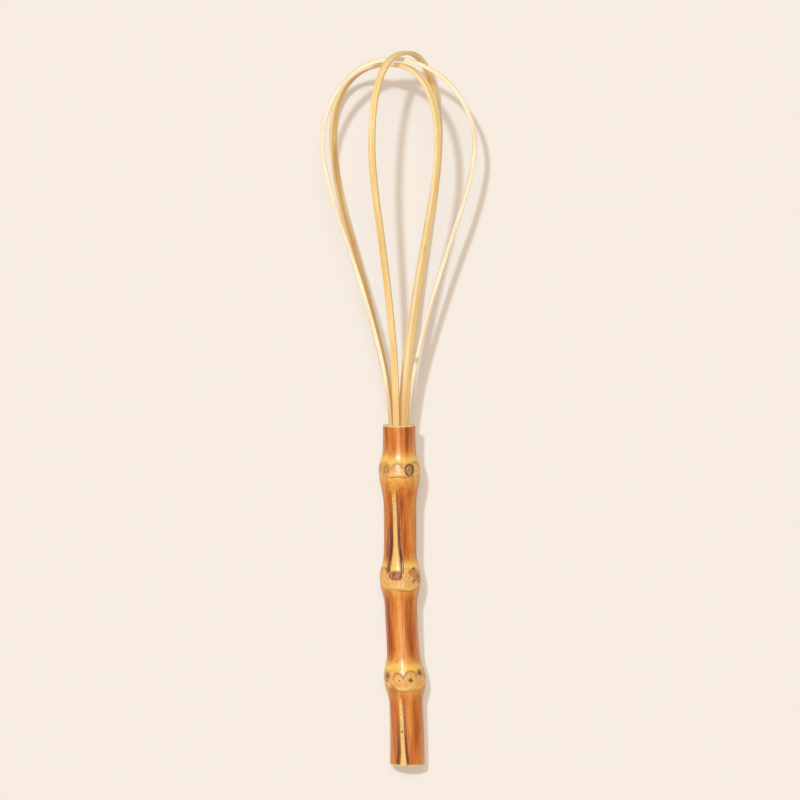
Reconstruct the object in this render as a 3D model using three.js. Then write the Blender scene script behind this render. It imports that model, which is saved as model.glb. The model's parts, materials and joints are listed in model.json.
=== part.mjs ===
// A hand whisk for tea: three bent bamboo strips whose ends are wedged into the
// drilled end of a bamboo-rhizome handle.
//
// Units are millimetres, +Z is up and the whisk lies on a table, as it is put down:
// its butt end and the two lowest strips touch the table, and its head points along +Y.
// The origin is on the table, under the middle of the whisk's bounding box.
//
// Inside the whisk's own group the axis runs along +Y, with y = 0 at the mouth of the
// handle's socket, x to the side and z up; the whole group is then laid on the table.

import * as THREE from "three";

// ---- driving dimensions -------------------------------------------------------------

// Handle: a piece of rhizome with three swollen nodes.
const HANDLE_LENGTH = 143.8;
const WAIST_RADIUS = 6.8; // between the nodes
const NODES = [
  // Depths are measured down from the mouth. Each node swells out over its reach above
  // it, towards the mouth, and dies away over its reach below it.
  { depth: 20.1, swell: 1.75, above: 6.4, below: 8.0 },
  { depth: 65.6, swell: 1.75, above: 7.4, below: 6.2 },
  { depth: 107.8, swell: 1.85, above: 7.6, below: 6.0 },
];
const NODE_SHARPNESS = 2.5; // 2 is a bell curve, more has a flatter top
const BUTT_FLARE = 0.45; // the rhizome is thicker towards its butt
const FLARE_START = 95; // depth where it starts to thicken
const LEAN = 0.5; // how far the handle's centre has moved aside by its second node
const LEAN_END = 45;
const BEND = 3.1; // how much further aside the bend below the second node takes it
const BEND_START = 58;
const END_CHAMFER = 0.5;

// Socket drilled into the handle, and the peg that wedges the strips' ends in it.
const SOCKET_RADIUS = 5.0;
const SOCKET_DEPTH = 34;
const DRILL_POINT = 2; // height of the cone left by the drill
const PEG_RADIUS = 2.4;
const PEG_TIP_RADIUS = 1.5;
const PEG_LENGTH = 30;
const PEG_TAPER = 8; // length of its pointed end
const PEG_SUNK = 0.8; // how far its top lies below the mouth

// Strips: six legs stand in a ring in the socket, 60 degrees apart.
const LEG_RING_RADIUS = 3.6;
const LEG_DEPTH = 30; // how far each leg reaches into the socket
const LEG_WIDTH = 2.8; // each strip is shaved narrower and thinner at its ends
const LEG_THICKNESS = 1.6;
const SHAVED_LENGTH = 75; // along the strip, from its end to its full section
const EDGE_CHAMFER = 0.3;

// How each leg swings out from the mouth to the belly: [share of the height, share of
// the swing]. It is straight in the middle and bends where it leaves the socket and at
// the belly.
const FLANK = [
  [0, 0],
  [0.17, 0.08],
  [0.28, 0.18],
  [0.45, 0.37],
  [0.63, 0.605],
  [0.8, 0.84],
  [0.91, 0.955],
];

// The three loops, from the innermost to the outermost where they cross at the crown.
// For each leg, belly is [x, z] of the strip's middle where the loop is widest; a
// fullness below 1 makes the leg swing out earlier; and a shoulder above 2 makes the
// crown squarer than an ellipse on that side. apex is the crown's place between the legs.
const LOOPS = [
  {
    name: "inner_loop",
    ringAngle: 53,
    left: { belly: [-27.9, -27.5], fullness: 0.84, shoulder: 2.4 },
    right: { belly: [16.3, 18.5], fullness: 1, shoulder: 2.4 },
    apex: 0.58,
    bellyHeight: 117.6,
    crownHeight: 151.2,
    width: 3.2,
    thickness: 1.8,
  },
  {
    name: "middle_loop",
    ringAngle: 0,
    left: { belly: [-32.1, 0], fullness: 1, shoulder: 2 },
    right: { belly: [31.7, 0], fullness: 1, shoulder: 1.95 },
    apex: 0.46,
    bellyHeight: 117.6,
    crownHeight: 153.7,
    width: 3.0,
    thickness: 1.8,
  },
  {
    name: "outer_loop",
    ringAngle: -73,
    left: { belly: [-11.3, 29.1], fullness: 1.14, shoulder: 2.5 },
    right: { belly: [16.7, -27.9], fullness: 1, shoulder: 2.1 },
    apex: 0.509,
    bellyHeight: 118.2,
    crownHeight: 156.2,
    width: 2.8,
    thickness: 1.7,
  },
];

// ---- facets -------------------------------------------------------------------------

const HANDLE_SIDES = 32;
const HANDLE_STEP = 3.2; // spacing of the handle's rings, about
const PEG_SIDES = 16;
const STRIP_STEPS = 76;
const CROWN_STATIONS = 6; // points on each half of a loop's crown

// ---- materials ----------------------------------------------------------------------

const rhizome = new THREE.MeshStandardMaterial({
  name: "rhizome",
  color: 0xc07c3c,
  roughness: 0.38,
  metalness: 0,
});
const strip = new THREE.MeshStandardMaterial({
  name: "strip",
  color: 0xecca8c,
  roughness: 0.5,
  metalness: 0,
});
const pegwood = new THREE.MeshStandardMaterial({
  name: "pegwood",
  color: 0xe0be80,
  roughness: 0.7,
  metalness: 0,
});

// ---- handle -------------------------------------------------------------------------

// Radius of the handle at a depth below the mouth.
function handleRadius(depth) {
  const swell = NODES.reduce((sum, node) => {
    const reach = depth < node.depth ? node.above : node.below;
    const away = Math.abs(depth - node.depth) / reach;
    return sum + node.swell * Math.exp(-(away ** NODE_SHARPNESS));
  }, 0);
  const flare = THREE.MathUtils.smoothstep(depth, FLARE_START, HANDLE_LENGTH);
  return WAIST_RADIUS + swell + BUTT_FLARE * flare;
}

// How far the handle's centre lies to the side at a depth below the mouth.
function handleSideways(depth) {
  const lean = LEAN * THREE.MathUtils.smoothstep(depth, 0, LEAN_END);
  const bend = BEND * THREE.MathUtils.smoothstep(depth, BEND_START, HANDLE_LENGTH);
  return lean + bend;
}

function handleGeometry() {
  const outline = [new THREE.Vector2(0, -HANDLE_LENGTH)];
  const rings = Math.round(HANDLE_LENGTH / HANDLE_STEP);
  const buttRadius = handleRadius(HANDLE_LENGTH);
  outline.push(new THREE.Vector2(buttRadius - END_CHAMFER, -HANDLE_LENGTH));
  for (let i = 0; i <= rings; i++) {
    const inset = END_CHAMFER;
    const depth = THREE.MathUtils.lerp(HANDLE_LENGTH - inset, inset, i / rings);
    outline.push(new THREE.Vector2(handleRadius(depth), -depth));
  }
  outline.push(new THREE.Vector2(handleRadius(0) - END_CHAMFER, 0));
  outline.push(new THREE.Vector2(SOCKET_RADIUS, 0));
  outline.push(new THREE.Vector2(SOCKET_RADIUS, -SOCKET_DEPTH));
  outline.push(new THREE.Vector2(0, -SOCKET_DEPTH - DRILL_POINT));

  const geometry = new THREE.LatheGeometry(outline, HANDLE_SIDES);
  const position = geometry.attributes.position;
  for (let i = 0; i < position.count; i++) {
    position.setX(i, position.getX(i) + handleSideways(-position.getY(i)));
  }
  geometry.computeVertexNormals();
  return geometry;
}

// ---- peg ----------------------------------------------------------------------------

function pegGeometry() {
  const top = -PEG_SUNK;
  const bottom = top - PEG_LENGTH;
  const outline = [
    new THREE.Vector2(0, bottom),
    new THREE.Vector2(PEG_TIP_RADIUS, bottom),
    new THREE.Vector2(PEG_RADIUS, bottom + PEG_TAPER),
    new THREE.Vector2(PEG_RADIUS, top - EDGE_CHAMFER),
    new THREE.Vector2(PEG_RADIUS - EDGE_CHAMFER, top),
    new THREE.Vector2(0, top),
  ];
  return new THREE.LatheGeometry(outline, PEG_SIDES);
}

// ---- strips -------------------------------------------------------------------------

// Where a leg stands in the ring at the mouth: [x, z].
function mouthOf(loop, side) {
  const angle = THREE.MathUtils.degToRad(loop.ringAngle);
  const reach = side === "right" ? LEG_RING_RADIUS : -LEG_RING_RADIUS;
  return [reach * Math.cos(angle), reach * Math.sin(angle)];
}

// The stations of one leg, from the bottom of the socket up to just under the belly.
function legStations(loop, side) {
  const [mouthX, mouthZ] = mouthOf(loop, side);
  const { belly, fullness } = loop[side];
  const stations = [-LEG_DEPTH, -LEG_DEPTH / 2].map(
    (y) => new THREE.Vector3(mouthX, y, mouthZ),
  );
  for (const [height, swing] of FLANK) {
    stations.push(
      new THREE.Vector3(
        THREE.MathUtils.lerp(mouthX, belly[0], swing),
        loop.bellyHeight * height ** (1 / fullness),
        THREE.MathUtils.lerp(mouthZ, belly[1], swing),
      ),
    );
  }
  return stations;
}

// The middle of the loop's crown: [x, z].
function apexOf(loop) {
  const [x0, z0] = loop.left.belly;
  const [x1, z1] = loop.right.belly;
  return [
    THREE.MathUtils.lerp(x0, x1, loop.apex),
    THREE.MathUtils.lerp(z0, z1, loop.apex),
  ];
}

// A quarter of an oval from the belly of one leg up to just before the crown's middle.
function crownStations(loop, side) {
  const [apexX, apexZ] = apexOf(loop);
  const { belly, shoulder } = loop[side];
  const [bellyX, bellyZ] = belly;
  const rise = loop.crownHeight - loop.bellyHeight;
  const stations = [];
  for (let i = 0; i < CROWN_STATIONS; i++) {
    const turn = ((i / CROWN_STATIONS) * Math.PI) / 2;
    const outward = Math.cos(turn) ** (2 / shoulder);
    const upward = Math.sin(turn) ** (2 / shoulder);
    stations.push(
      new THREE.Vector3(
        THREE.MathUtils.lerp(apexX, bellyX, outward),
        loop.bellyHeight + rise * upward,
        THREE.MathUtils.lerp(apexZ, bellyZ, outward),
      ),
    );
  }
  return stations;
}

// A strip's middle line, from the end of its left leg to the end of its right leg.
function spineOf(loop) {
  const [apexX, apexZ] = apexOf(loop);
  const left = [...legStations(loop, "left"), ...crownStations(loop, "left")];
  const right = [...legStations(loop, "right"), ...crownStations(loop, "right")];
  const apex = new THREE.Vector3(apexX, loop.crownHeight, apexZ);
  return new THREE.CatmullRomCurve3([...left, apex, ...right.reverse()]);
}

// The direction across the strip's width, square to the plane that its two legs are in.
// That plane turns from the ring at the mouth to the belly, so the strip twists with it.
function acrossStrip(loop, y) {
  const [mouthX, mouthZ] = mouthOf(loop, "right");
  const dx = loop.right.belly[0] - loop.left.belly[0];
  const dz = loop.right.belly[1] - loop.left.belly[1];
  const atBelly = Math.atan2(dz, dx);
  const atMouth = Math.atan2(mouthZ, mouthX);
  const turned = THREE.MathUtils.smoothstep(y, 0, loop.bellyHeight);
  const angle = THREE.MathUtils.lerp(atMouth, atBelly, turned);
  return new THREE.Vector3(-Math.sin(angle), 0, Math.cos(angle));
}

// A strip's section: a rectangle with its long edges eased, x across and y through it.
function sectionOf(width, thickness) {
  const [w, t, c] = [width / 2, thickness / 2, EDGE_CHAMFER];
  const corners = [
    [w - c, -t],
    [w, c - t],
    [w, t - c],
    [w - c, t],
    [c - w, t],
    [-w, t - c],
    [-w, c - t],
    [c - w, -t],
  ];
  return new THREE.Shape(corners.map(([x, y]) => new THREE.Vector2(x, y)));
}

// A straight bar of the strip's full section, bent onto the spine and shaved at its ends.
function stripGeometry(loop) {
  const spine = spineOf(loop);
  const length = spine.getLength();
  const geometry = new THREE.ExtrudeGeometry(sectionOf(loop.width, loop.thickness), {
    depth: 1,
    steps: STRIP_STEPS,
    bevelEnabled: false,
  });
  const position = geometry.attributes.position;
  const point = new THREE.Vector3();
  for (let i = 0; i < position.count; i++) {
    const share = THREE.MathUtils.clamp(position.getZ(i), 0, 1);
    const fromEnd = Math.min(share, 1 - share) * length;
    const full = THREE.MathUtils.smoothstep(fromEnd, LEG_DEPTH, SHAVED_LENGTH);
    const middle = spine.getPointAt(share);
    const along = spine.getTangentAt(share);
    const across = acrossStrip(loop, middle.y);
    across.addScaledVector(along, -across.dot(along)).normalize();
    const through = new THREE.Vector3().crossVectors(along, across);
    const widthScale = THREE.MathUtils.lerp(LEG_WIDTH / loop.width, 1, full);
    const thicknessScale = THREE.MathUtils.lerp(
      LEG_THICKNESS / loop.thickness,
      1,
      full,
    );
    point.copy(middle);
    point.addScaledVector(across, position.getX(i) * widthScale);
    point.addScaledVector(through, position.getY(i) * thicknessScale);
    position.setXYZ(i, point.x, point.y, point.z);
  }
  geometry.computeVertexNormals();
  return geometry;
}

// ---- assembly -----------------------------------------------------------------------

function named(name, geometry, material) {
  const mesh = new THREE.Mesh(geometry, material);
  mesh.name = name;
  return mesh;
}

const whisk = new THREE.Group();
const handle = named("handle", handleGeometry(), rhizome);
const head = new THREE.Group();
head.add(...LOOPS.map((loop) => named(loop.name, stripGeometry(loop), strip)));
whisk.add(handle, head, named("wedge_peg", pegGeometry(), pegwood));

// The lowest point of an object when the whisk is tipped head-up by an angle.
function lowestWhenTipped(object, angle) {
  whisk.rotation.x = angle;
  whisk.updateMatrixWorld(true);
  return new THREE.Box3().setFromObject(object, true).min.z;
}

// The angle at which the handle and the head both touch the table.
function restingAngle() {
  let [low, high] = [0, THREE.MathUtils.degToRad(15)];
  for (let i = 0; i < 40; i++) {
    const middle = (low + high) / 2;
    const headIsLower = lowestWhenTipped(head, middle) < lowestWhenTipped(handle, middle);
    if (headIsLower) low = middle;
    else high = middle;
  }
  return (low + high) / 2;
}

whisk.rotation.x = restingAngle();
whisk.updateMatrixWorld(true);
const box = new THREE.Box3().setFromObject(whisk, true);
const centre = box.getCenter(new THREE.Vector3());
whisk.position.set(-centre.x, -centre.y, -box.min.z);

const part = new THREE.Group();
part.add(whisk);
part.updateMatrixWorld(true);

export default part;
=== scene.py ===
"""Looks for the bamboo tea whisk: a rhizome handle, bent strips and a wedge peg, on a pale table.

The CAD model is the frame. The whisk's own axes are x to the side, y along the whisk with
0 at the mouth of the handle's socket, and z up, in millimetres; place() puts them in the frame.
On the handle, depth is the distance from the mouth towards the butt, and angles go round from
the right side over the top.
"""

import json
import math

import bpy
import numpy as np
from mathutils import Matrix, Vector


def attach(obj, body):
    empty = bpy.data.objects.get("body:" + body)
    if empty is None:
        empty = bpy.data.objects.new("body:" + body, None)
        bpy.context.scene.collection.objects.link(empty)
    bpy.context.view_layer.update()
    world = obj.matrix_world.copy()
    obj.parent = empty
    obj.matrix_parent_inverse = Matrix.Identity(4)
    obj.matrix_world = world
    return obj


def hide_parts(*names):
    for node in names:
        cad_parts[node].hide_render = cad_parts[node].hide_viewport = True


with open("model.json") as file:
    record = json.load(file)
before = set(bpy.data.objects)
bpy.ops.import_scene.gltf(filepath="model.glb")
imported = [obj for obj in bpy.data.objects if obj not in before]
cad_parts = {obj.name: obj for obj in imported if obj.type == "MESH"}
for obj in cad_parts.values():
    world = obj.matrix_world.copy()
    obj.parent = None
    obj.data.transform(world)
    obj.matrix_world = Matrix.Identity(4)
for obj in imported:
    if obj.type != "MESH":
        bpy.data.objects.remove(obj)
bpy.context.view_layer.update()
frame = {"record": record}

MM = 0.001

# ---- the CAD model's dimensions, in millimetres ---------------------------------------

HANDLE_LENGTH = 143.8
WAIST_RADIUS = 6.8
NODES = [  # depth, swell, and how far it reaches above and below
    (20.1, 1.75, 6.4, 8.0),
    (65.6, 1.75, 7.4, 6.2),
    (107.8, 1.85, 7.6, 6.0),
]
NODE_SHARPNESS = 2.5
BUTT_FLARE = 0.45
FLARE_START = 95
LEAN = 0.5
LEAN_END = 45
BEND = 3.1
BEND_START = 58
SOCKET_RADIUS = 5.0
SOCKET_DEPTH = 34.0
DRILL_POINT = 2.0
PEG_RADIUS = 2.4
PEG_TIP_RADIUS = 1.5
PEG_LENGTH = 30.0
PEG_TAPER = 8.0
PEG_SUNK = 0.8
LEG_RING_RADIUS = 3.6
LEG_DEPTH = 30.0
LEG_WIDTH = 2.8
LEG_THICKNESS = 1.6
SHAVED_LENGTH = 75.0
CROWN_STATIONS = 6
FLANK = [(0, 0), (0.17, 0.08), (0.28, 0.18), (0.45, 0.37), (0.63, 0.605), (0.8, 0.84), (0.91, 0.955)]
LOOPS = {
    "inner_loop": dict(
        ring=53, left=((-27.9, -27.5), 0.84, 2.4), right=((16.3, 18.5), 1, 2.4),
        apex=0.58, belly=117.6, crown=151.2, width=3.2, thickness=1.8,
    ),
    "middle_loop": dict(
        ring=0, left=((-32.1, 0), 1, 2), right=((31.7, 0), 1, 1.95),
        apex=0.46, belly=117.6, crown=153.7, width=3.0, thickness=1.8,
    ),
    "outer_loop": dict(
        ring=-73, left=((-11.3, 29.1), 1.14, 2.5), right=((16.7, -27.9), 1, 2.1),
        apex=0.509, belly=118.2, crown=156.2, width=2.8, thickness=1.7,
    ),
}

# ---- where the whisk lies ---------------------------------------------------------------

butt = next(m for m in frame["record"]["mounts"] if m["name"] == "butt_face")
_, cos_tip, sin_tip = (-c for c in butt["axis"])


def place(points):
    """Points in the whisk's own axes, in mm, as points in the frame, in metres."""
    p = np.asarray(points, float) - (LEAN + BEND, -HANDLE_LENGTH, 0)
    turned = np.stack(
        [p[:, 0], p[:, 1] * cos_tip - p[:, 2] * sin_tip, p[:, 1] * sin_tip + p[:, 2] * cos_tip], 1
    )
    return turned * MM + np.array(butt["pos_m"])


# ---- small helpers ----------------------------------------------------------------------


def smooth(x, a, b):
    """0 up to a, 1 from b on, and a soft step between them."""
    t = np.clip((np.asarray(x, float) - a) / (b - a), 0, 1)
    return t * t * (3 - 2 * t)


def bump_at(x, centre, half, power=2.0):
    """1 at the centre, falling to 0.37 at half its width."""
    return np.exp(-np.abs((x - centre) / half) ** power)


def wrap(angle):
    return (angle + np.pi) % (2 * np.pi) - np.pi


def waves(rng, x, y, nx, ny, count=14):
    """A smooth random field of about unit size, periodic in x (an angle)."""
    total = np.zeros(np.broadcast(x, y).shape)
    for _ in range(count):
        k = rng.integers(nx[0], nx[1] + 1)
        w = rng.uniform(*ny) * rng.choice([-1, 1])
        total += np.cos(k * x + w * y + rng.uniform(0, 2 * np.pi))
    return total / math.sqrt(count / 2)


def whisk_piece(name, points, masks, vectors):
    """A smooth-shaded closed tube through rows of points, given in the whisk's own axes.

    points has the shape (rows, points round a row, 3). The masks and vectors, one value for
    each point, become attributes that the material reads.
    """
    rows, cols = points.shape[:2]
    i, j = np.meshgrid(np.arange(rows - 1), np.arange(cols), indexing="ij")
    k = (j + 1) % cols
    quads = np.stack([i * cols + j, i * cols + k, (i + 1) * cols + k, (i + 1) * cols + j], -1)
    faces = [tuple(q) for q in quads.reshape(-1, 4).tolist()]
    faces.append(tuple(range(cols - 1, -1, -1)))
    faces.append(tuple(range((rows - 1) * cols, rows * cols)))

    mesh = bpy.data.meshes.new(name)
    mesh.from_pydata(place(points.reshape(-1, 3)).tolist(), [], faces)
    mesh.update()
    for key, values in masks.items():
        layer = mesh.attributes.new(key, "FLOAT", "POINT")
        layer.data.foreach_set("value", np.asarray(values, np.float32).ravel())
    for key, values in vectors.items():
        layer = mesh.attributes.new(key, "FLOAT_VECTOR", "POINT")
        layer.data.foreach_set("vector", np.asarray(values, np.float32).ravel())
    mesh.shade_smooth()
    piece = bpy.data.objects.new(name, mesh)
    bpy.context.collection.objects.link(piece)
    piece.visible_diffuse = False  # no light bounces onto the table, which stays evenly lit
    return piece


# ---- materials --------------------------------------------------------------------------


def srgb(r, g, b):
    """A colour given in sRGB, 0 to 255, as linear RGBA."""
    return tuple(
        (c / 255 / 12.92 if c / 255 <= 0.04045 else ((c / 255 + 0.055) / 1.055) ** 2.4)
        for c in (r, g, b)
    ) + (1.0,)


class Nodes:
    """Short ways to build a material's node tree."""

    def __init__(self, name):
        self.material = bpy.data.materials.new(name)
        self.material.use_nodes = True
        self.tree = self.material.node_tree
        self.shader = self.tree.nodes["Principled BSDF"]

    def _feed(self, socket, value):
        if isinstance(value, bpy.types.NodeSocket):
            self.tree.links.new(value, socket)
        else:
            socket.default_value = value

    def mask(self, name):
        node = self.tree.nodes.new("ShaderNodeAttribute")
        node.attribute_name = name
        return node.outputs["Fac"]

    def vector(self, name, scale):
        node = self.tree.nodes.new("ShaderNodeAttribute")
        node.attribute_name = name
        scaled = self.tree.nodes.new("ShaderNodeVectorMath")
        scaled.operation = "MULTIPLY"
        self._feed(scaled.inputs[0], node.outputs["Vector"])
        scaled.inputs[1].default_value = scale
        return scaled.outputs["Vector"]

    def noise(self, vector, scale, detail=3.0, roughness=0.55, distortion=0.0):
        node = self.tree.nodes.new("ShaderNodeTexNoise")
        self._feed(node.inputs["Vector"], vector)
        node.inputs["Scale"].default_value = scale
        node.inputs["Detail"].default_value = detail
        node.inputs["Roughness"].default_value = roughness
        node.inputs["Distortion"].default_value = distortion
        return node.outputs["Fac"]

    def ramp(self, value, low, high, out_low=0.0, out_high=1.0):
        """A soft step from out_low where the value is low to out_high where it is high."""
        node = self.tree.nodes.new("ShaderNodeMapRange")
        node.interpolation_type = "SMOOTHSTEP"
        for socket, v in zip(node.inputs, (value, low, high, out_low, out_high)):
            self._feed(socket, v)
        return node.outputs["Result"]

    def math(self, operation, a, b, clamp=False):
        node = self.tree.nodes.new("ShaderNodeMath")
        node.operation = operation
        node.use_clamp = clamp
        self._feed(node.inputs[0], a)
        self._feed(node.inputs[1], b)
        return node.outputs["Value"]

    def mix(self, factor, a, b, blend="MIX"):
        node = self.tree.nodes.new("ShaderNodeMix")
        node.data_type = "RGBA"
        node.blend_type = blend
        node.clamp_factor = True
        self._feed(node.inputs["Factor"], factor)
        self._feed(node.inputs[6], a)
        self._feed(node.inputs[7], b)
        return node.outputs[2]

    def fibre_ends(self, scale, low, high, flesh, dot):
        """The sawn face of a culm: pale flesh with the dark dots of the fibre bundles."""
        node = self.tree.nodes.new("ShaderNodeTexVoronoi")
        self._feed(node.inputs["Vector"], self.vector("cut_co", (1.0, 1.0, 1.0)))
        node.inputs["Scale"].default_value = scale
        dots = self.ramp(node.outputs["Distance"], low, high, 1.0, 0.0)
        return self.mix(self.math("MULTIPLY", dots, 0.6), flesh, dot)

    def bump(self, height, strength, distance):
        node = self.tree.nodes.new("ShaderNodeBump")
        node.inputs["Strength"].default_value = strength
        node.inputs["Distance"].default_value = distance
        self._feed(node.inputs["Height"], height)
        return node.outputs["Normal"]

    def finish(self, color, roughness, normal, specular=0.5, coat=0.0, coat_roughness=0.1):
        self._feed(self.shader.inputs["Base Color"], color)
        self._feed(self.shader.inputs["Roughness"], roughness)
        self._feed(self.shader.inputs["Normal"], normal)
        self.shader.inputs["Specular IOR Level"].default_value = specular
        self.shader.inputs["Coat Weight"].default_value = coat
        self.shader.inputs["Coat Roughness"].default_value = coat_roughness
        return self.material


def rhizome_material():
    """Heat-browned rhizome under a clear gloss: burnt streaks, pale nodes and rubbed ridges."""
    n = Nodes("rhizome")
    fibre = n.vector("grain", (1.0, 1.0, 0.05))
    broad = n.vector("grain", (1.0, 1.0, 0.12))
    flesh = n.vector("grain", (1.0, 1.0, 1.0))

    streak = n.noise(broad, 0.42, 4, 0.6, 0.3)
    fine = n.noise(fibre, 2.2, 4, 0.65)
    mottle = n.noise(flesh, 0.5, 4, 0.6)
    freckle = n.noise(flesh, 2.0, 3, 0.6)

    # The browned rind between the nodes.
    honey = n.mix(n.ramp(mottle, 0.35, 0.7), srgb(254, 196, 96), srgb(243, 167, 70))
    tan = n.mix(n.ramp(streak, 0.3, 0.7), srgb(238, 148, 56), srgb(222, 118, 34))
    burnt = n.mix(n.ramp(streak, 0.35, 0.65), srgb(188, 88, 20), srgb(148, 56, 10))
    warm = n.math("ADD", n.mask("warm"), n.ramp(streak, 0.25, 0.75, -0.18, 0.18), True)
    color = n.mix(warm, honey, tan)
    burn = n.math("ADD", n.mask("burn"), n.ramp(fine, 0.3, 0.7, -0.12, 0.12))
    burn = n.math("MULTIPLY", burn, n.ramp(streak, 0.3, 0.6, 0.75, 1.1), True)
    color = n.mix(burn, color, burnt)

    # Rubbed ribs, and the worn nodes with their glow and the shade under the root scars.
    ridge = n.mix(n.ramp(freckle, 0.35, 0.65), srgb(251, 209, 126), srgb(235, 174, 88))
    color = n.mix(n.mask("ridge"), color, ridge)
    worn = n.mix(n.ramp(mottle, 0.35, 0.65), srgb(250, 198, 118), srgb(238, 168, 90))
    worn = n.mix(n.ramp(freckle, 0.48, 0.66, 0.0, 0.55), worn, srgb(204, 136, 66))
    color = n.mix(n.mask("pale"), color, worn)
    color = n.mix(n.mask("glow"), color, srgb(255, 206, 98))
    color = n.mix(n.mask("shade"), color, srgb(196, 122, 58))

    # Buds, burnt channels, the scars' cores, and dark lines.
    bud = n.mix(n.ramp(freckle, 0.35, 0.65), srgb(192, 108, 56), srgb(140, 68, 30))
    color = n.mix(n.mask("bud"), color, bud)
    groove = n.math("MULTIPLY", n.mask("groove"), n.ramp(fine, 0.25, 0.6, 0.8, 1.0), True)
    color = n.mix(groove, color, srgb(84, 28, 12))
    core = n.mix(n.ramp(freckle, 0.4, 0.6), srgb(212, 156, 122), srgb(156, 100, 72))
    color = n.mix(n.mask("core"), color, core)
    line = n.math("MULTIPLY", n.mask("line"), n.ramp(mottle, 0.3, 0.6, 0.75, 1.0), True)
    color = n.mix(line, color, srgb(106, 50, 28))

    # Fine fibres and dark specks over everything, and the cut ends.
    darker = n.mix(1.0, color, srgb(200, 140, 90), "MULTIPLY")
    color = n.mix(n.ramp(fine, 0.35, 0.7, 0.0, 0.2), color, darker)
    speck = n.ramp(n.noise(flesh, 2.3, 2, 0.5), 0.67, 0.73)
    color = n.mix(n.math("MULTIPLY", speck, 0.6), color, srgb(112, 52, 18))
    cut = n.fibre_ends(1.55, 0.2, 0.34, srgb(240, 208, 140), srgb(170, 112, 58))
    color = n.mix(n.mask("cut"), color, cut)

    height = n.math("ADD", n.math("MULTIPLY", fine, 0.6), n.math("MULTIPLY", mottle, 0.6))
    rough = n.ramp(fine, 0.3, 0.7, 0.42, 0.55)
    rough = n.math("ADD", rough, n.math("MULTIPLY", n.mask("cut"), 0.3))
    normal = n.bump(height, 0.35, 0.00016)
    return n.finish(color, rough, normal, specular=0.3, coat=0.5, coat_roughness=0.26)


def strip_material():
    """Split bamboo: a waxy golden skin outside, pale fibrous flesh inside and on the split edges."""
    n = Nodes("strip")
    fibre = n.vector("grain", (1.0, 1.0, 0.03))
    blotch = n.vector("grain", (0.6, 0.6, 0.12))
    fine = n.noise(fibre, 7.0, 4, 0.7)
    strands = n.noise(fibre, 2.6, 3, 0.6)
    tone = n.noise(blotch, 0.6, 3, 0.55)
    seams = n.noise(fibre, 1.5, 2, 0.5)

    by_strand = n.ramp(strands, 0.3, 0.7)
    skin = n.mix(n.ramp(tone, 0.3, 0.7), srgb(255, 216, 142), srgb(250, 202, 124))
    flesh = n.mix(by_strand, srgb(242, 196, 124), srgb(230, 170, 96))
    split = n.mix(by_strand, srgb(255, 246, 222), srgb(253, 234, 198))
    golden = n.mix(by_strand, srgb(255, 228, 158), srgb(254, 212, 136))
    color = n.mix(n.mask("skin"), flesh, skin)
    color = n.mix(n.mask("edge"), color, n.mix(n.mask("pale"), golden, split))
    color = n.mix(n.ramp(seams, 0.5, 0.62, 0.0, 0.4), color, srgb(234, 174, 94))
    color = n.mix(n.ramp(seams, 0.36, 0.46, 0.5, 0.0), color, srgb(255, 234, 182))
    # Painted highlight: a pale line along each rounded edge of a strip.
    color = n.mix(n.math("MULTIPLY", n.mask("rim"), 0.65), color, srgb(255, 234, 180))
    color = n.mix(n.ramp(fine, 0.5, 0.72, 0.0, 0.5), color, srgb(222, 160, 84))
    color = n.mix(n.mask("band"), color, srgb(252, 222, 168))
    color = n.mix(n.mask("nick"), color, srgb(120, 70, 34))
    # Near the handle's mouth the legs get a toasted tone and painted shade where they crowd together,
    # darker on the flesh side.
    color = n.mix(n.mask("toast_and_shade"), color, srgb(212, 146, 74))

    height = n.math("ADD", n.math("MULTIPLY", fine, 0.7), n.math("MULTIPLY", strands, 0.5))
    rough = n.ramp(strands, 0.3, 0.7, 0.4, 0.55)
    rough = n.math("ADD", rough, n.math("MULTIPLY", n.mask("edge"), 0.15))
    return n.finish(color, rough, n.bump(height, 0.4, 0.00012), specular=0.25)


def peg_material():
    """Plain whittled bamboo with a sawn top."""
    n = Nodes("pegwood")
    fibre = n.vector("grain", (1.0, 1.0, 0.06))
    side = n.mix(n.noise(fibre, 3.0), srgb(236, 204, 146), srgb(214, 174, 112))
    end = n.fibre_ends(2.0, 0.18, 0.32, srgb(236, 208, 152), srgb(168, 118, 66))
    color = n.mix(n.mask("cut"), side, end)
    return n.finish(color, 0.75, n.bump(n.noise(fibre, 6.0), 0.4, 0.0001))


def table_material():
    """Matt pale cream."""
    n = Nodes("table")
    n.shader.inputs["Base Color"].default_value = srgb(241, 229, 218)
    n.shader.inputs["Roughness"].default_value = 0.9
    n.shader.inputs["Specular IOR Level"].default_value = 0.1
    return n.material


# ---- handle -----------------------------------------------------------------------------

ROUND_STEPS = 320
OUTSIDE_ROWS = 760
# How far the rounding of each sawn edge reaches along the handle and inwards.
BUTT_ROUNDING = (0.45, 0.5)
MOUTH_ROUNDING = (0.4, 0.45)
SOCKET_CHAMFER = 0.15
HANDLE_SEED = 11
# The rind stays pale round each node: how far above the node's middle that stretch is
# centred, how far it reaches and how sharply it ends.
PALE_ABOVE = 1.6
PALE_REACH = 8.0
PALE_SHARPNESS = 3.0
# Browned bands along the handle: angle, half-width in radians, strength. The second list
# adds to the first between the first two nodes, and the first is weaker past the last node.
BROWNED = [
    (141, 0.36, 0.72),
    (64, 0.4, 0.68),
    (15, 0.35, 0.3),
    (205, 0.4, 0.9),
    (320, 0.45, 0.7),
    (262, 0.3, 0.6),
]
BROWNED_BESIDE_RIB = [(85, 0.2, 0.6), (58, 0.3, -0.3)]
LAST_SEGMENT_LOSS = 0.35
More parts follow.
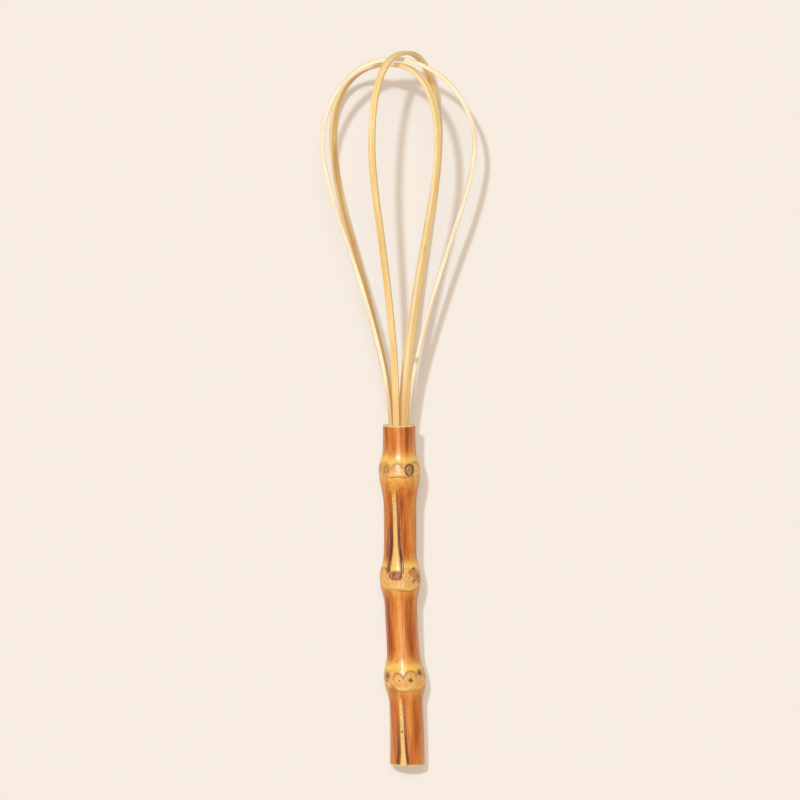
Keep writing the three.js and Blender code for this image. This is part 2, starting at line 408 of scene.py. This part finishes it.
# Raised ribs in shallow channels, from just below one node to the next: start and end depth,
# angle there, and how dark the channel is burnt.
RIBS = [
    dict(start=24, end=61.5, angle=(112, 105), dark=1.0),
    dict(start=112, end=150, angle=(110, 103), dark=0.95),
    dict(start=-8, end=16.5, angle=(292, 287), dark=0.8),
    dict(start=69, end=104, angle=(290, 285), dark=0.8),
]
# For each node: its depth, the pale band's upper and lower edge, and how far the lower
# edge droops where the node faces up.
NODE_RIMS = [(20.1, 16.1, 20.9, 0.6), (65.6, 61.0, 67.4, 1.9), (107.8, 103.6, 108.9, 2.9)]
# Root scars round the nodes: depth, angle, half-height, half-width, kind. An arch is a lip over
# a shallow dish, a ring has a small hub, an eye is a dark ring round a pale core, and a hollow
# or a pit is sunk and dark.
SCARS = [
    (18.4, 133, 2.7, 2.5, "ring"),
    (18.4, 96, 2.7, 2.6, "arch"),
    (18.5, 60, 2.75, 2.35, "eye"),
    (17.9, 32, 2.7, 2.4, "arch"),
    (17.6, 350, 2.4, 2.2, "arch"),
    (17.9, 312, 2.4, 2.0, "ring"),
    (17.8, 236, 2.4, 2.1, "eye"),
    (17.7, 200, 2.5, 2.2, "arch"),
    (17.9, 166, 2.4, 2.0, "ring"),
    (62.6, 41, 2.2, 2.0, "ring"),
    (66.0, 38, 1.5, 2.8, "hollow"),
    (61.8, 56, 1.5, 1.3, "ring"),
    (64.3, 57, 1.2, 1.4, "arch"),
    (64.2, 27, 1.6, 1.8, "pit"),
    (60.6, 45, 1.0, 1.5, "pit"),
    (61.5, 149, 1.8, 2.0, "arch"),
    (62.5, 5, 2.5, 2.1, "ring"),
    (62.8, 325, 2.4, 2.1, "arch"),
    (62.4, 285, 2.5, 2.1, "ring"),
    (62.8, 246, 2.4, 2.0, "eye"),
    (62.5, 208, 2.5, 2.2, "arch"),
    (62.7, 176, 2.2, 1.9, "ring"),
    (106.0, 148, 2.7, 2.4, "pit"),
    (107.1, 108, 2.9, 2.6, "arch"),
    (105.9, 72.5, 2.9, 2.8, "arch"),
    (104.6, 38, 2.2, 2.0, "pit"),
    (111.6, 126, 2.3, 2.1, "ring"),
    (105.0, 4, 2.4, 2.2, "ring"),
    (105.2, 328, 2.4, 2.2, "arch"),
    (105.1, 246, 2.4, 2.2, "ring"),
    (105.0, 214, 2.4, 2.2, "arch"),
    (105.1, 182, 2.3, 2.0, "eye"),
]
FRECKLES_PER_RIB = 22
# Pin-holes and dark specks: depth, angle, size.
PORES = [(107.4, 107, 0.5), (107.2, 72.5, 1.0), (21.4, 47, 0.4), (107.6, 150, 0.8), (107.6, 248, 0.7)]
SPECKS = [(94.6, 122, 0.3), (99.2, 115, 0.3), (93.2, 61, 0.32), (129.0, 107, 0.55)]
# Buds where the ribs end: depth, angle, half-height, half-width.
BUDS = [(63.4, 104, 2.3, 3.0), (18.4, 278, 2.4, 3.1), (106.0, 284, 2.3, 3.1)]


def handle_radius(depth):
    swell = 0
    for node, size, above, below in NODES:
        away = np.abs(depth - node) / np.where(depth < node, above, below)
        swell = swell + size * np.exp(-(away**NODE_SHARPNESS))
    return WAIST_RADIUS + swell + BUTT_FLARE * smooth(depth, FLARE_START, HANDLE_LENGTH)


def handle_sideways(depth):
    return LEAN * smooth(depth, 0, LEAN_END) + BEND * smooth(depth, BEND_START, HANDLE_LENGTH)


class Rind:
    """The handle's outside, over a grid of angle phi (radians) and depth (mm).

    rise is how far it stands over the plain radius, in mm, and the masks are its colours' amounts.
    """

    def __init__(self, phi, depth):
        self.phi = phi
        self.depth = depth
        self.base = handle_radius(depth)
        self.rise = np.zeros(np.broadcast(phi, depth).shape)
        names = ("warm", "burn", "ridge", "pale", "glow", "shade", "bud", "groove", "core", "line")
        self.masks = {name: self.rise.copy() for name in names}
        self.rng = np.random.default_rng(HANDLE_SEED)

    def waves(self, nx, ny, count=14):
        return waves(self.rng, self.phi, self.depth, nx, ny, count)

    def waves_round(self, nx):
        """Waves that go round the handle and are the same at every depth."""
        return waves(self.rng, self.phi, 0 * self.depth, nx, (0, 0))

    def away(self, angle):
        """Arc distance from an angle in degrees, in mm, positive to the left seen from above."""
        return wrap(self.phi - np.radians(angle)) * self.base

    def bands(self, table):
        return sum(
            strength * bump_at(wrap(self.phi - math.radians(angle)), 0, half)
            for angle, half, strength in table
        )

    def at_least(self, mask, amount):
        self.masks[mask] = np.maximum(self.masks[mask], amount)

    def clear(self, mask, amount):
        self.masks[mask] *= 1 - amount


def make_uneven(rind):
    """A section that isn't quite round, and faint lines along the fibres."""
    rind.rise += 0.07 * rind.waves((2, 4), (0.02, 0.12))
    rind.rise += 0.018 * rind.waves((14, 40), (0.01, 0.06), 24)


def brown(rind):
    """Heat-browning between the nodes, strongest in bands along the handle."""
    depth = rind.depth
    near_node = sum(
        bump_at(depth, node[0] - PALE_ABOVE, PALE_REACH, PALE_SHARPNESS) for node in NODES
    )
    between = np.clip(1 - near_node, 0, 1)
    second_segment = smooth(depth, 26, 36) * (1 - smooth(depth, 56, 62))
    last_segment = smooth(depth, 108, 118)
    bands = rind.bands(BROWNED) + second_segment * rind.bands(BROWNED_BESIDE_RIB)
    bands = bands * (1 - LAST_SEGMENT_LOSS * last_segment)
    drift = 0.1 * rind.waves((3, 8), (0.03, 0.12), 18)
    rind.at_least("burn", np.clip(between * (bands + drift), 0, 1))
    rind.at_least("warm", np.clip(0.25 + 0.75 * between + 0.5 * drift, 0, 1))


def add_rib(rind, rib):
    """A pale rib that widens towards its bud, between two channels, the left one wider."""
    depth, start, end = rind.depth, rib["start"], rib["end"]
    t = np.clip((depth - start) / (end - start), 0, 1)
    there = smooth(depth, start, start + 7) * (1 - smooth(depth, end - 0.5, end + 2.0))
    away = rind.away(rib["angle"][0] + (rib["angle"][1] - rib["angle"][0]) * t)
    on_left = away > 0

    half = 0.7 + 0.5 * t + 1.5 * smooth(t, 0.6, 1.0) ** 1.5
    left_wall = half + 1.35 + 0.3 * t
    right_wall = half + 0.7 + 0.15 * t
    wall = np.where(on_left, left_wall, right_wall)
    floor = 1 - smooth(np.abs(away), wall, wall + np.where(on_left, 0.9, 0.5))
    crest = 1 - smooth(np.abs(away), half * 0.55, half + 0.35)
    sunk = 0.2 + 0.32 * smooth(t, 0.15, 0.75)
    rind.rise += there * (-sunk * floor + (sunk + 0.05) * crest)
    rind.rise += there * 0.08 * bump_at(away, -(right_wall + 0.75), 0.4)

    channel = there * np.clip(floor - 1.3 * crest, 0, 1)
    deep = smooth(t, 0.12, 0.7)
    burnt = np.where(on_left, 0.2 + 0.65 * deep, 0.5 + 0.5 * deep)
    rind.at_least("groove", rib["dark"] * channel * burnt)
    rind.at_least("ridge", there * (1 - smooth(np.abs(away), half * 0.8, half + 0.25)))


def add_node(rind, node, rim_top, rim_bottom, droop):
    """A node's own surface: pale, with a soft edge above and a broken crease below it."""
    depth = rind.depth
    above = rim_top + 0.35 * rind.waves_round((3, 8))
    below = rim_bottom + droop * np.sin(rind.phi) + 0.22 * rind.waves_round((2, 5))
    band = smooth(depth, above - 0.5, above + 0.9) * (1 - smooth(depth, below - 0.2, below + 0.5))
    broken = np.clip(0.75 + 0.35 * np.cos(3 * rind.phi + node), 0.3, 1)
    rind.at_least("pale", 0.9 * band)
    rind.at_least("line", 0.62 * bump_at(depth, below + 0.15, 0.26) * broken)
    rind.at_least("glow", 0.55 * bump_at(depth, below - 1.1, 0.8) * broken)
    rind.at_least("glow", 0.85 * bump_at(depth, above - 1.7, 1.7))
    rind.rise -= 0.12 * bump_at(depth, below + 0.3, 0.45)
    rind.rise += 0.12 * bump_at(depth, below - 0.9, 0.7)


def add_scar(rind, depth, angle, tall, wide, kind):
    """A root scar. rho is 0 at its middle and 1 on its slightly uneven rim."""
    p = (rind.depth - depth) / tall
    q = rind.away(angle) / wide
    turn = np.arctan2(p, q)
    uneven = 0.035 * np.sin(2 * turn + angle) + 0.025 * np.sin(3 * turn + 2 * angle)
    rho = np.sqrt(p * p + q * q) * (1 + uneven)
    rim = bump_at(rho, 1, 0.15)
    inside = 1 - smooth(rho, 0.75, 1.0)
    if kind == "arch":
        upper = smooth(-p, -0.25, 0.3)
        inside = inside * upper
        rind.rise += 0.1 * rim * upper - 0.1 * inside
        rind.at_least("shade", 0.6 * bump_at(rho, 0.82, 0.15) * upper)
        rind.at_least("line", 0.5 * bump_at(rho, 0.98, 0.09) * upper)
    elif kind == "hollow":
        upper = smooth(-p, -0.6, 0.2)
        rind.rise += (0.12 * rim - 0.3 * inside) * upper
        rind.at_least("line", 0.85 * bump_at(rho, 0.75, 0.24) * upper)
    elif kind == "pit":
        upper = smooth(-p, -0.75, 0.1)
        rind.rise += (0.12 * rim - 0.3 * inside) * upper
        rind.at_least("line", 0.95 * bump_at(rho, 0, 0.78, 4) * upper)
    elif kind == "ring":
        rind.rise += 0.1 * rim - 0.12 * inside + 0.1 * bump_at(rho, 0, 0.3)
        rind.at_least("shade", 0.45 * inside)
        rind.at_least("line", 0.42 * bump_at(rho, 1, 0.08))
        rind.at_least("line", 0.6 * bump_at(rho, 0.42, 0.12))
    elif kind == "eye":
        rind.rise += 0.12 * rim - 0.25 * inside + 0.16 * bump_at(rho, 0, 0.35)
        rind.at_least("line", bump_at(rho, 0.8, 0.25))
        rind.at_least("core", 1 - smooth(rho, 0.36, 0.6))
    rind.clear("glow", inside)


def add_freckles(rind, rib):
    """Dark freckles, longer than wide, where a rib begins."""
    for _ in range(FRECKLES_PER_RIB):
        depth = rib["start"] + rind.rng.uniform(0.5, 15)
        aside = rind.away(rib["angle"][0]) - rind.rng.normal(0, 0.7)
        rho = np.hypot((rind.depth - depth) / 1.2, aside) / rind.rng.uniform(0.16, 0.34)
        rind.at_least("line", 0.42 * bump_at(rho, 0, 1))


def add_pore(rind, depth, angle, size):
    """A round dark pin-hole."""
    rho = np.hypot(rind.depth - depth, rind.away(angle)) / size
    rind.rise -= 0.2 * bump_at(rho, 0, 1)
    rind.at_least("line", 0.95 * bump_at(rho, 0, 1, 4))


def add_bud(rind, depth, angle, tall, wide):
    """A low brown bud, frayed at its lower edge and outlined above."""
    p = (rind.depth - depth) / tall
    q = rind.away(angle) / wide
    frayed = 0.16 * rind.waves((30, 60), (0.6, 2.0), 10) * smooth(p, -0.1, 0.6)
    rho = np.sqrt(p * p + q * q) + frayed + 0.35 * smooth(p, 0.1, 1.0)
    inside = 1 - smooth(rho, 0.82, 1.02)
    rind.clear("glow", inside)
    rind.clear("ridge", inside)
    rind.at_least("bud", inside)
    rind.at_least("line", 0.7 * bump_at(rho, 0.98, 0.1) * smooth(-p, -0.9, 0.1))
    rind.rise += 0.12 * inside - 0.08 * bump_at(rho, 1.08, 0.14)
    rind.rise += 0.05 * inside * rind.waves((20, 50), (0.5, 2.0), 10)


def add_speck(rind, depth, angle, size):
    """A dark speck, longer than wide."""
    rho = np.hypot((rind.depth - depth) / 1.3, rind.away(angle)) / size
    rind.at_least("line", 0.8 * bump_at(rho, 0, 1, 3))
    rind.rise -= 0.05 * bump_at(rho, 0, 1)


def handle_surface(phi, depth):
    """Radius and masks of the handle's outside at angle phi (radians) and depth (mm)."""
    rind = Rind(phi, depth)
    make_uneven(rind)
    brown(rind)
    for rib in RIBS:
        add_rib(rind, rib)
    for rim in NODE_RIMS:
        add_node(rind, *rim)
    for scar in SCARS:
        add_scar(rind, *scar)
    for rib in RIBS:
        add_freckles(rind, rib)
    for pore in PORES:
        add_pore(rind, *pore)
    for bud in BUDS:
        add_bud(rind, *bud)
    for speck in SPECKS:
        add_speck(rind, *speck)
    return rind.base + rind.rise, rind.masks


def build_handle():
    """The rhizome as one closed tube: butt face, outside, mouth, and down inside the socket."""
    phi = np.linspace(0, 2 * np.pi, ROUND_STEPS, endpoint=False)[None, :]
    butt_along, butt_in = BUTT_ROUNDING
    mouth_along, mouth_in = MOUTH_ROUNDING
    outside = np.linspace(HANDLE_LENGTH - butt_along, mouth_along, OUTSIDE_ROWS)[:, None]
    radius, masks = handle_surface(phi, outside)
    butt_edge, mouth_edge = radius[0], radius[-1]
    corner = np.linspace(0.2, 0.8, 4) * np.pi / 2

    butt_face = [(HANDLE_LENGTH, share * (butt_edge - butt_in)) for share in np.linspace(0.02, 1, 26)]
    butt_face += [
        (HANDLE_LENGTH - butt_along * (1 - np.cos(turn)), butt_edge - butt_in * (1 - np.sin(turn)))
        for turn in corner
    ]
    mouth = [
        (mouth_along * (1 - np.sin(turn)), mouth_edge - mouth_in * (1 - np.cos(turn)))
        for turn in corner
    ]
    mouth += [
        (0, (mouth_edge - mouth_in) * (1 - share) + (SOCKET_RADIUS + SOCKET_CHAMFER) * share)
        for share in np.linspace(0, 1, 9)
    ]
    socket = [(SOCKET_CHAMFER, SOCKET_RADIUS)]
    socket += [(depth, SOCKET_RADIUS) for depth in np.linspace(0.6, SOCKET_DEPTH, 16)]
    socket += [
        (SOCKET_DEPTH + DRILL_POINT * (1 - share), SOCKET_RADIUS * share)
        for share in (0.75, 0.5, 0.25, 0.02)
    ]
    rows = butt_face + list(zip(outside[:, 0], radius)) + mouth + socket
    depth = np.array([np.full(ROUND_STEPS, float(value)) for value, _ in rows])
    r = np.array([np.broadcast_to(value, ROUND_STEPS) for _, value in rows])

    skin = slice(len(butt_face), len(butt_face) + OUTSIDE_ROWS)
    looks = {}
    for key, values in masks.items():
        looks[key] = np.zeros(depth.shape)
        looks[key][skin] = values
    # The cut face's colour bleeds a hair's breadth over the edges.
    at_mouth = smooth(-depth, -0.7, -0.3)
    at_butt = smooth(depth, HANDLE_LENGTH - 0.9, HANDLE_LENGTH - 0.4)
    looks["cut"] = np.ones(depth.shape)
    looks["cut"][skin] = np.maximum(at_mouth, at_butt)[skin]

    x, z = r * np.cos(phi), r * np.sin(phi)
    plain = handle_radius(depth)
    grain = np.stack([plain * np.cos(phi), plain * np.sin(phi), depth], -1)
    cut_co = np.stack([x, z, 0 * x], -1)
    points = np.stack([x + handle_sideways(depth), -depth, z], -1)
    return whisk_piece("handle_body", points, looks, {"grain": grain, "cut_co": cut_co})


# ---- strips -----------------------------------------------------------------------------

# How each strip looks. bands: where the culm's node crosses it, in mm along it from its left
# end. paleness: how white its split edges are. nicks: small dark marks, how far along and
# how far across.
STRIP_LOOKS = {
    "inner_loop": dict(bands=[252.0], paleness=0.4, nicks=[(303.0, 0.7)]),
    "middle_loop": dict(bands=[], paleness=1.0, nicks=[(352.0, 0.9)]),
    "outer_loop": dict(bands=[161.5, 262.0], paleness=0.1, nicks=[]),
}
STRIP_ROWS = 900
SMOOTHING_PASSES = 6
# Unevenness along a strip: its waves in radians per mm, and how much width and thickness lose.
WOBBLE_WAVES = (0.05, 0.11, 0.23)
FULL_TURN = 6.28
WIDTH_WOBBLE = 0.012
THICKNESS_WOBBLE = 0.015
CORNER_RADIUS = 0.28
CORNER_STEPS = 5
SKIN_CROWN = 0.05
BAND_SWELL = 0.06
# The legs' toasted tone and painted shade fade out over this length outside the handle's mouth.
TOAST_AND_SHADE_LENGTH = 22  # of each leg, outside the handle's mouth
GRAIN_STEP = 37.0  # along the noise, so that no two strips have the same grain


def catmull_rom(points, per_segment=60):
    """A smooth curve through the points, with centripetal knots as the CAD strips have."""
    p = np.asarray(points, float)
    p = np.vstack([2 * p[0] - p[1], p, 2 * p[-1] - p[-2]])
    t = np.linspace(0, 1, per_segment, endpoint=False)[:, None]
    curve = []
    for a, b, c, d in zip(p, p[1:], p[2:], p[3:]):
        k0, k1, k2 = (math.sqrt(np.linalg.norm(v - u)) for u, v in ((a, b), (b, c), (c, d)))
        m1 = k1 * ((b - a) / k0 - (c - a) / (k0 + k1) + (c - b) / k1)
        m2 = k1 * ((c - b) / k1 - (d - b) / (k1 + k2) + (d - c) / k2)
        curve.append(b + m1 * t + (3 * c - 3 * b - 2 * m1 - m2) * t**2 + (2 * b - 2 * c + m1 + m2) * t**3)
    return np.vstack(curve + [p[-2:-1]])


def spine_of(loop):
    """The middle line of a strip, evenly spaced, with its arc length."""
    ring = math.radians(loop["ring"])
    leg = LEG_RING_RADIUS * np.array([math.cos(ring), math.sin(ring)])
    ends = {"left": -leg, "right": leg}
    bellies = {s: np.array(loop[s][0], float) for s in ends}
    apex = bellies["left"] + loop["apex"] * (bellies["right"] - bellies["left"])
    rise = loop["crown"] - loop["belly"]

    def side(s):
        """Stations from the leg's end to just before the crown: sideways and up, then along."""
        _, fullness, shoulder = loop[s]
        stations = [(*ends[s], -LEG_DEPTH), (*ends[s], -LEG_DEPTH / 2)]
        for height, swing in FLANK:
            out = ends[s] + swing * (bellies[s] - ends[s])
            stations.append((*out, loop["belly"] * height ** (1 / fullness)))
        for i in range(CROWN_STATIONS):
            turn = i / CROWN_STATIONS * math.pi / 2
            out = math.cos(turn) ** (2 / shoulder)
            up = math.sin(turn) ** (2 / shoulder)
            stations.append((*(apex + out * (bellies[s] - apex)), loop["belly"] + rise * up))
        return [(x, y, z) for x, z, y in stations]

    curve = catmull_rom(side("left") + [(apex[0], loop["crown"], apex[1])] + side("right")[::-1])
    arc = np.concatenate([[0], np.cumsum(np.linalg.norm(np.diff(curve, axis=0), axis=1))])
    even = np.linspace(0, arc[-1], STRIP_ROWS)
    points = np.stack([np.interp(even, arc, curve[:, k]) for k in range(3)], 1)
    for _ in range(SMOOTHING_PASSES):  # irons out the facets of the sampled curve
        points[1:-1] = (points[:-2] + 2 * points[1:-1] + points[2:]) / 4
    return points, even


def strip_section():
    """A rounded rectangle: for each point, the corner it belongs to and its way out from there."""
    section = []
    for cx, cy, start in ((1, 1, 0), (-1, 1, 90), (-1, -1, 180), (1, -1, 270)):
        for k in range(CORNER_STEPS):
            turn = math.radians(start + 90 * k / (CORNER_STEPS - 1))
            section.append((cx, cy, math.cos(turn), math.sin(turn)))
        if cx == cy:  # two points on the broad side that follows, or one on the narrow side
            section += [(cx * share, cy, 0, cy) for share in (0.45, -0.45)]
        else:
            section.append((cx, 0, cx, 0))
    return np.array(section).T


def build_strip(name, seed):
    """One strip as a closed tube along its spine, from its left end to its right end."""
    loop, look = LOOPS[name], STRIP_LOOKS[name]
    rng = np.random.default_rng(seed)
    points, arc = spine_of(loop)

    # The strip's axes: along it, across its width and through its thickness.
    along = np.gradient(points, axis=0)
    along /= np.linalg.norm(along, axis=1)[:, None]
    swing = np.array(loop["right"][0]) - np.array(loop["left"][0])
    at_leg = math.radians(loop["ring"])
    at_belly = math.atan2(swing[1], swing[0])
    angle = at_leg + (at_belly - at_leg) * smooth(points[:, 1], 0, loop["belly"])
    across = np.stack([-np.sin(angle), 0 * angle, np.cos(angle)], 1)
    across -= along * np.sum(across * along, 1)[:, None]
    across /= np.linalg.norm(across, axis=1)[:, None]
    through = np.cross(along, across)
    middle = np.array([0, loop["belly"], 0])
    outward = np.sign(np.sum(through * (points - middle), 1)[len(points) // 2])

    # Its width and thickness: shaved towards the ends, and a little uneven.
    from_end = np.minimum(arc, arc[-1] - arc)
    full = smooth(from_end, LEG_DEPTH, SHAVED_LENGTH)
    wobble = sum(np.sin(arc * w + rng.uniform(0, FULL_TURN)) for w in WOBBLE_WAVES)
    wobble = wobble / len(WOBBLE_WAVES)
    width = LEG_WIDTH + (loop["width"] - LEG_WIDTH) * full
    width = width * (1 - WIDTH_WOBBLE * (1 + wobble))
    thickness = LEG_THICKNESS + (loop["thickness"] - LEG_THICKNESS) * full
    thickness = thickness * (1 - THICKNESS_WOBBLE * (1 - wobble))

    # Its section, flat on the split edges, and on the skin's side slightly crowned, with a
    # low swelling where the culm's node crosses.
    corner_u, corner_v, out_u, out_v = strip_section()
    half_w, half_t = width[:, None] / 2, thickness[:, None] / 2
    u = corner_u * (half_w - CORNER_RADIUS) + out_u * CORNER_RADIUS
    v = corner_v * (half_t - CORNER_RADIUS) + out_v * CORNER_RADIUS
    skin_side = v * outward > 0
    swell = sum((bump_at(arc, at, 1.9) for at in look["bands"]), 0 * arc)[:, None]
    proud = SKIN_CROWN * (1 - (u / half_w) ** 2) + BAND_SWELL * swell
    v = v + np.where(skin_side, outward * proud, 0)
    body = points[:, None, :] + across[:, None, :] * u[..., None] + through[:, None, :] * v[..., None]

    every = np.zeros_like(u)
    flat = np.abs(out_v) + every
    skin = np.where(skin_side, smooth(flat, 0.15, 0.5), 0)
    band = sum((bump_at(arc, at, 1.3) for at in look["bands"]), 0 * arc)[:, None]
    nick = sum(
        (bump_at(arc[:, None], at, 1.1) * bump_at(u / half_w, side, 0.16) for at, side in look["nicks"]),
        every,
    )
    in_handle = smooth(-from_end[:, None], -LEG_DEPTH - TOAST_AND_SHADE_LENGTH, -LEG_DEPTH)
    masks = {
        "skin": skin,
        "edge": 1 - smooth(flat, 0.35, 0.9),
        # A painted highlight along the strip's rounded edges.
        "rim": bump_at(flat, 0.75, 0.2),
        "pale": look["paleness"] + every,
        "band": np.clip(band * (0.35 + 0.65 * skin), 0, 0.65),
        "nick": np.clip(nick, 0, 0.4),
        # Partly a toasted tone, partly painted shade between the crowded legs, more on the flesh side.
        "toast_and_shade": (0.3 + 0.4 * (1 - skin)) * in_handle,
    }
    grain = np.stack([u, v, arc[:, None] + every + seed * GRAIN_STEP], -1)
    return whisk_piece(name + "_strip", body, masks, {"grain": grain})


# ---- peg --------------------------------------------------------------------------------

PEG_STEPS = 40
PEG_ROUNDING = 0.3
PEG_RIPPLE = 0.02  # its whittled side isn't quite round


def build_peg():
    """The peg as a closed tube, from its tip up to its sawn top."""
    phi = np.linspace(0, 2 * np.pi, PEG_STEPS, endpoint=False)[None, :]
    top, bottom = -PEG_SUNK, -PEG_SUNK - PEG_LENGTH
    taper = PEG_RADIUS - PEG_TIP_RADIUS
    outline = [(bottom, r) for r in np.linspace(0.05, PEG_TIP_RADIUS, 4)]
    outline += [(bottom + PEG_TAPER * s, PEG_TIP_RADIUS + taper * s) for s in np.linspace(0.1, 1, 8)]
    outline += [(y, PEG_RADIUS) for y in np.linspace(bottom + PEG_TAPER + 1, top - PEG_ROUNDING, 30)]
    outline += [
        (top - PEG_ROUNDING * (1 - math.sin(a)), PEG_RADIUS - PEG_ROUNDING * (1 - math.cos(a)))
        for a in (0.4, 0.8, 1.2, 1.57)
    ]
    outline += [(top, r) for r in np.linspace(PEG_RADIUS - 0.4, 0.05, 8)]
    y, r = np.array(outline).T[:, :, None]
    y = y + 0 * phi
    r = r + PEG_RIPPLE * np.cos(7 * phi)
    x, z = r * np.cos(phi), r * np.sin(phi)
    cut = np.where((y > top - 0.25) | (y < bottom + 0.05), 1.0, 0.0)
    vectors = {"grain": np.stack([x, z, y], -1), "cut_co": np.stack([x, z, 0 * x], -1)}
    return whisk_piece("peg_body", np.stack([x, y, z], -1), {"cut": cut}, vectors)


# ---- pieces on the frame ----------------------------------------------------------------

handle = build_handle()
handle.data.materials.append(rhizome_material())
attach(handle, "root")
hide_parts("handle")

strip_look = strip_material()
for number, loop_name in enumerate(LOOPS):
    piece = build_strip(loop_name, number + 1)
    piece.data.materials.append(strip_look)
    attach(piece, "root")
    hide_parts(loop_name)

peg = build_peg()
peg.data.materials.append(peg_material())
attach(peg, "root")
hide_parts("wedge_peg")

# ---- table, light and camera ------------------------------------------------------------

TABLE_SIZE = 60
SKY_COLOR = (1.0, 0.9, 0.79, 1)
SKY_STRENGTH = 0.33
CAMERA_HEIGHT = 4.0
VIEW_CENTRE = (0.0006, 0.0040)
VIEW_WIDTH = 0.336  # at the whisk's mean height
MEAN_HEIGHT = 0.02
SENSOR_WIDTH = 36
FAR_CLIP = 100

bpy.ops.mesh.primitive_plane_add(size=TABLE_SIZE, location=(0, 0, 0))
table = bpy.context.object
table.name = "table"
table.data.materials.append(table_material())

scene = bpy.context.scene
scene.view_settings.view_transform = "Standard"
scene.view_settings.look = "None"

world = bpy.data.worlds.new("studio")
scene.world = world
world.use_nodes = True
background = world.node_tree.nodes["Background"]
background.inputs["Color"].default_value = SKY_COLOR
background.inputs["Strength"].default_value = SKY_STRENGTH


def sun(name, towards, energy, spread, color):
    """A distant light in a direction from the table. A wider spread, in degrees, is softer."""
    light = bpy.data.objects.new(name, bpy.data.lights.new(name, "SUN"))
    bpy.context.collection.objects.link(light)
    light.data.energy = energy
    light.data.angle = math.radians(spread)
    light.data.color = color
    light.rotation_mode = "QUATERNION"
    light.rotation_quaternion = Vector(towards).to_track_quat("Z", "Y")
    return light


# The key light, from beyond the head and the left, draws the strips' shadows on the table.
sun("key", (-0.194, 0.275, 1.0), energy=1.38, spread=3.0, color=(0.66, 0.85, 1.0))
# A soft fill from overhead lights the table evenly and casts no shadow.
fill = sun("fill", (-0.18, -0.08, 1.0), energy=1.138, spread=34, color=(0.97, 0.856, 0.731))
fill.data.use_shadow = False
# A soft light from beyond the head: its shadow lies under the whisk and just past its butt.
sun("back", (-0.03, 0.3, 1.0), energy=0.45, spread=18, color=(0.8, 0.87, 0.9))

# The camera looks straight down through a long lens.
camera = bpy.data.objects.new("camera", bpy.data.cameras.new("camera"))
bpy.context.collection.objects.link(camera)
camera.location = (*VIEW_CENTRE, CAMERA_HEIGHT)
camera.rotation_euler = (0, 0, 0)
camera.data.sensor_width = SENSOR_WIDTH
camera.data.lens = SENSOR_WIDTH * (CAMERA_HEIGHT - MEAN_HEIGHT) / VIEW_WIDTH
camera.data.clip_end = FAR_CLIP
scene.camera = camera
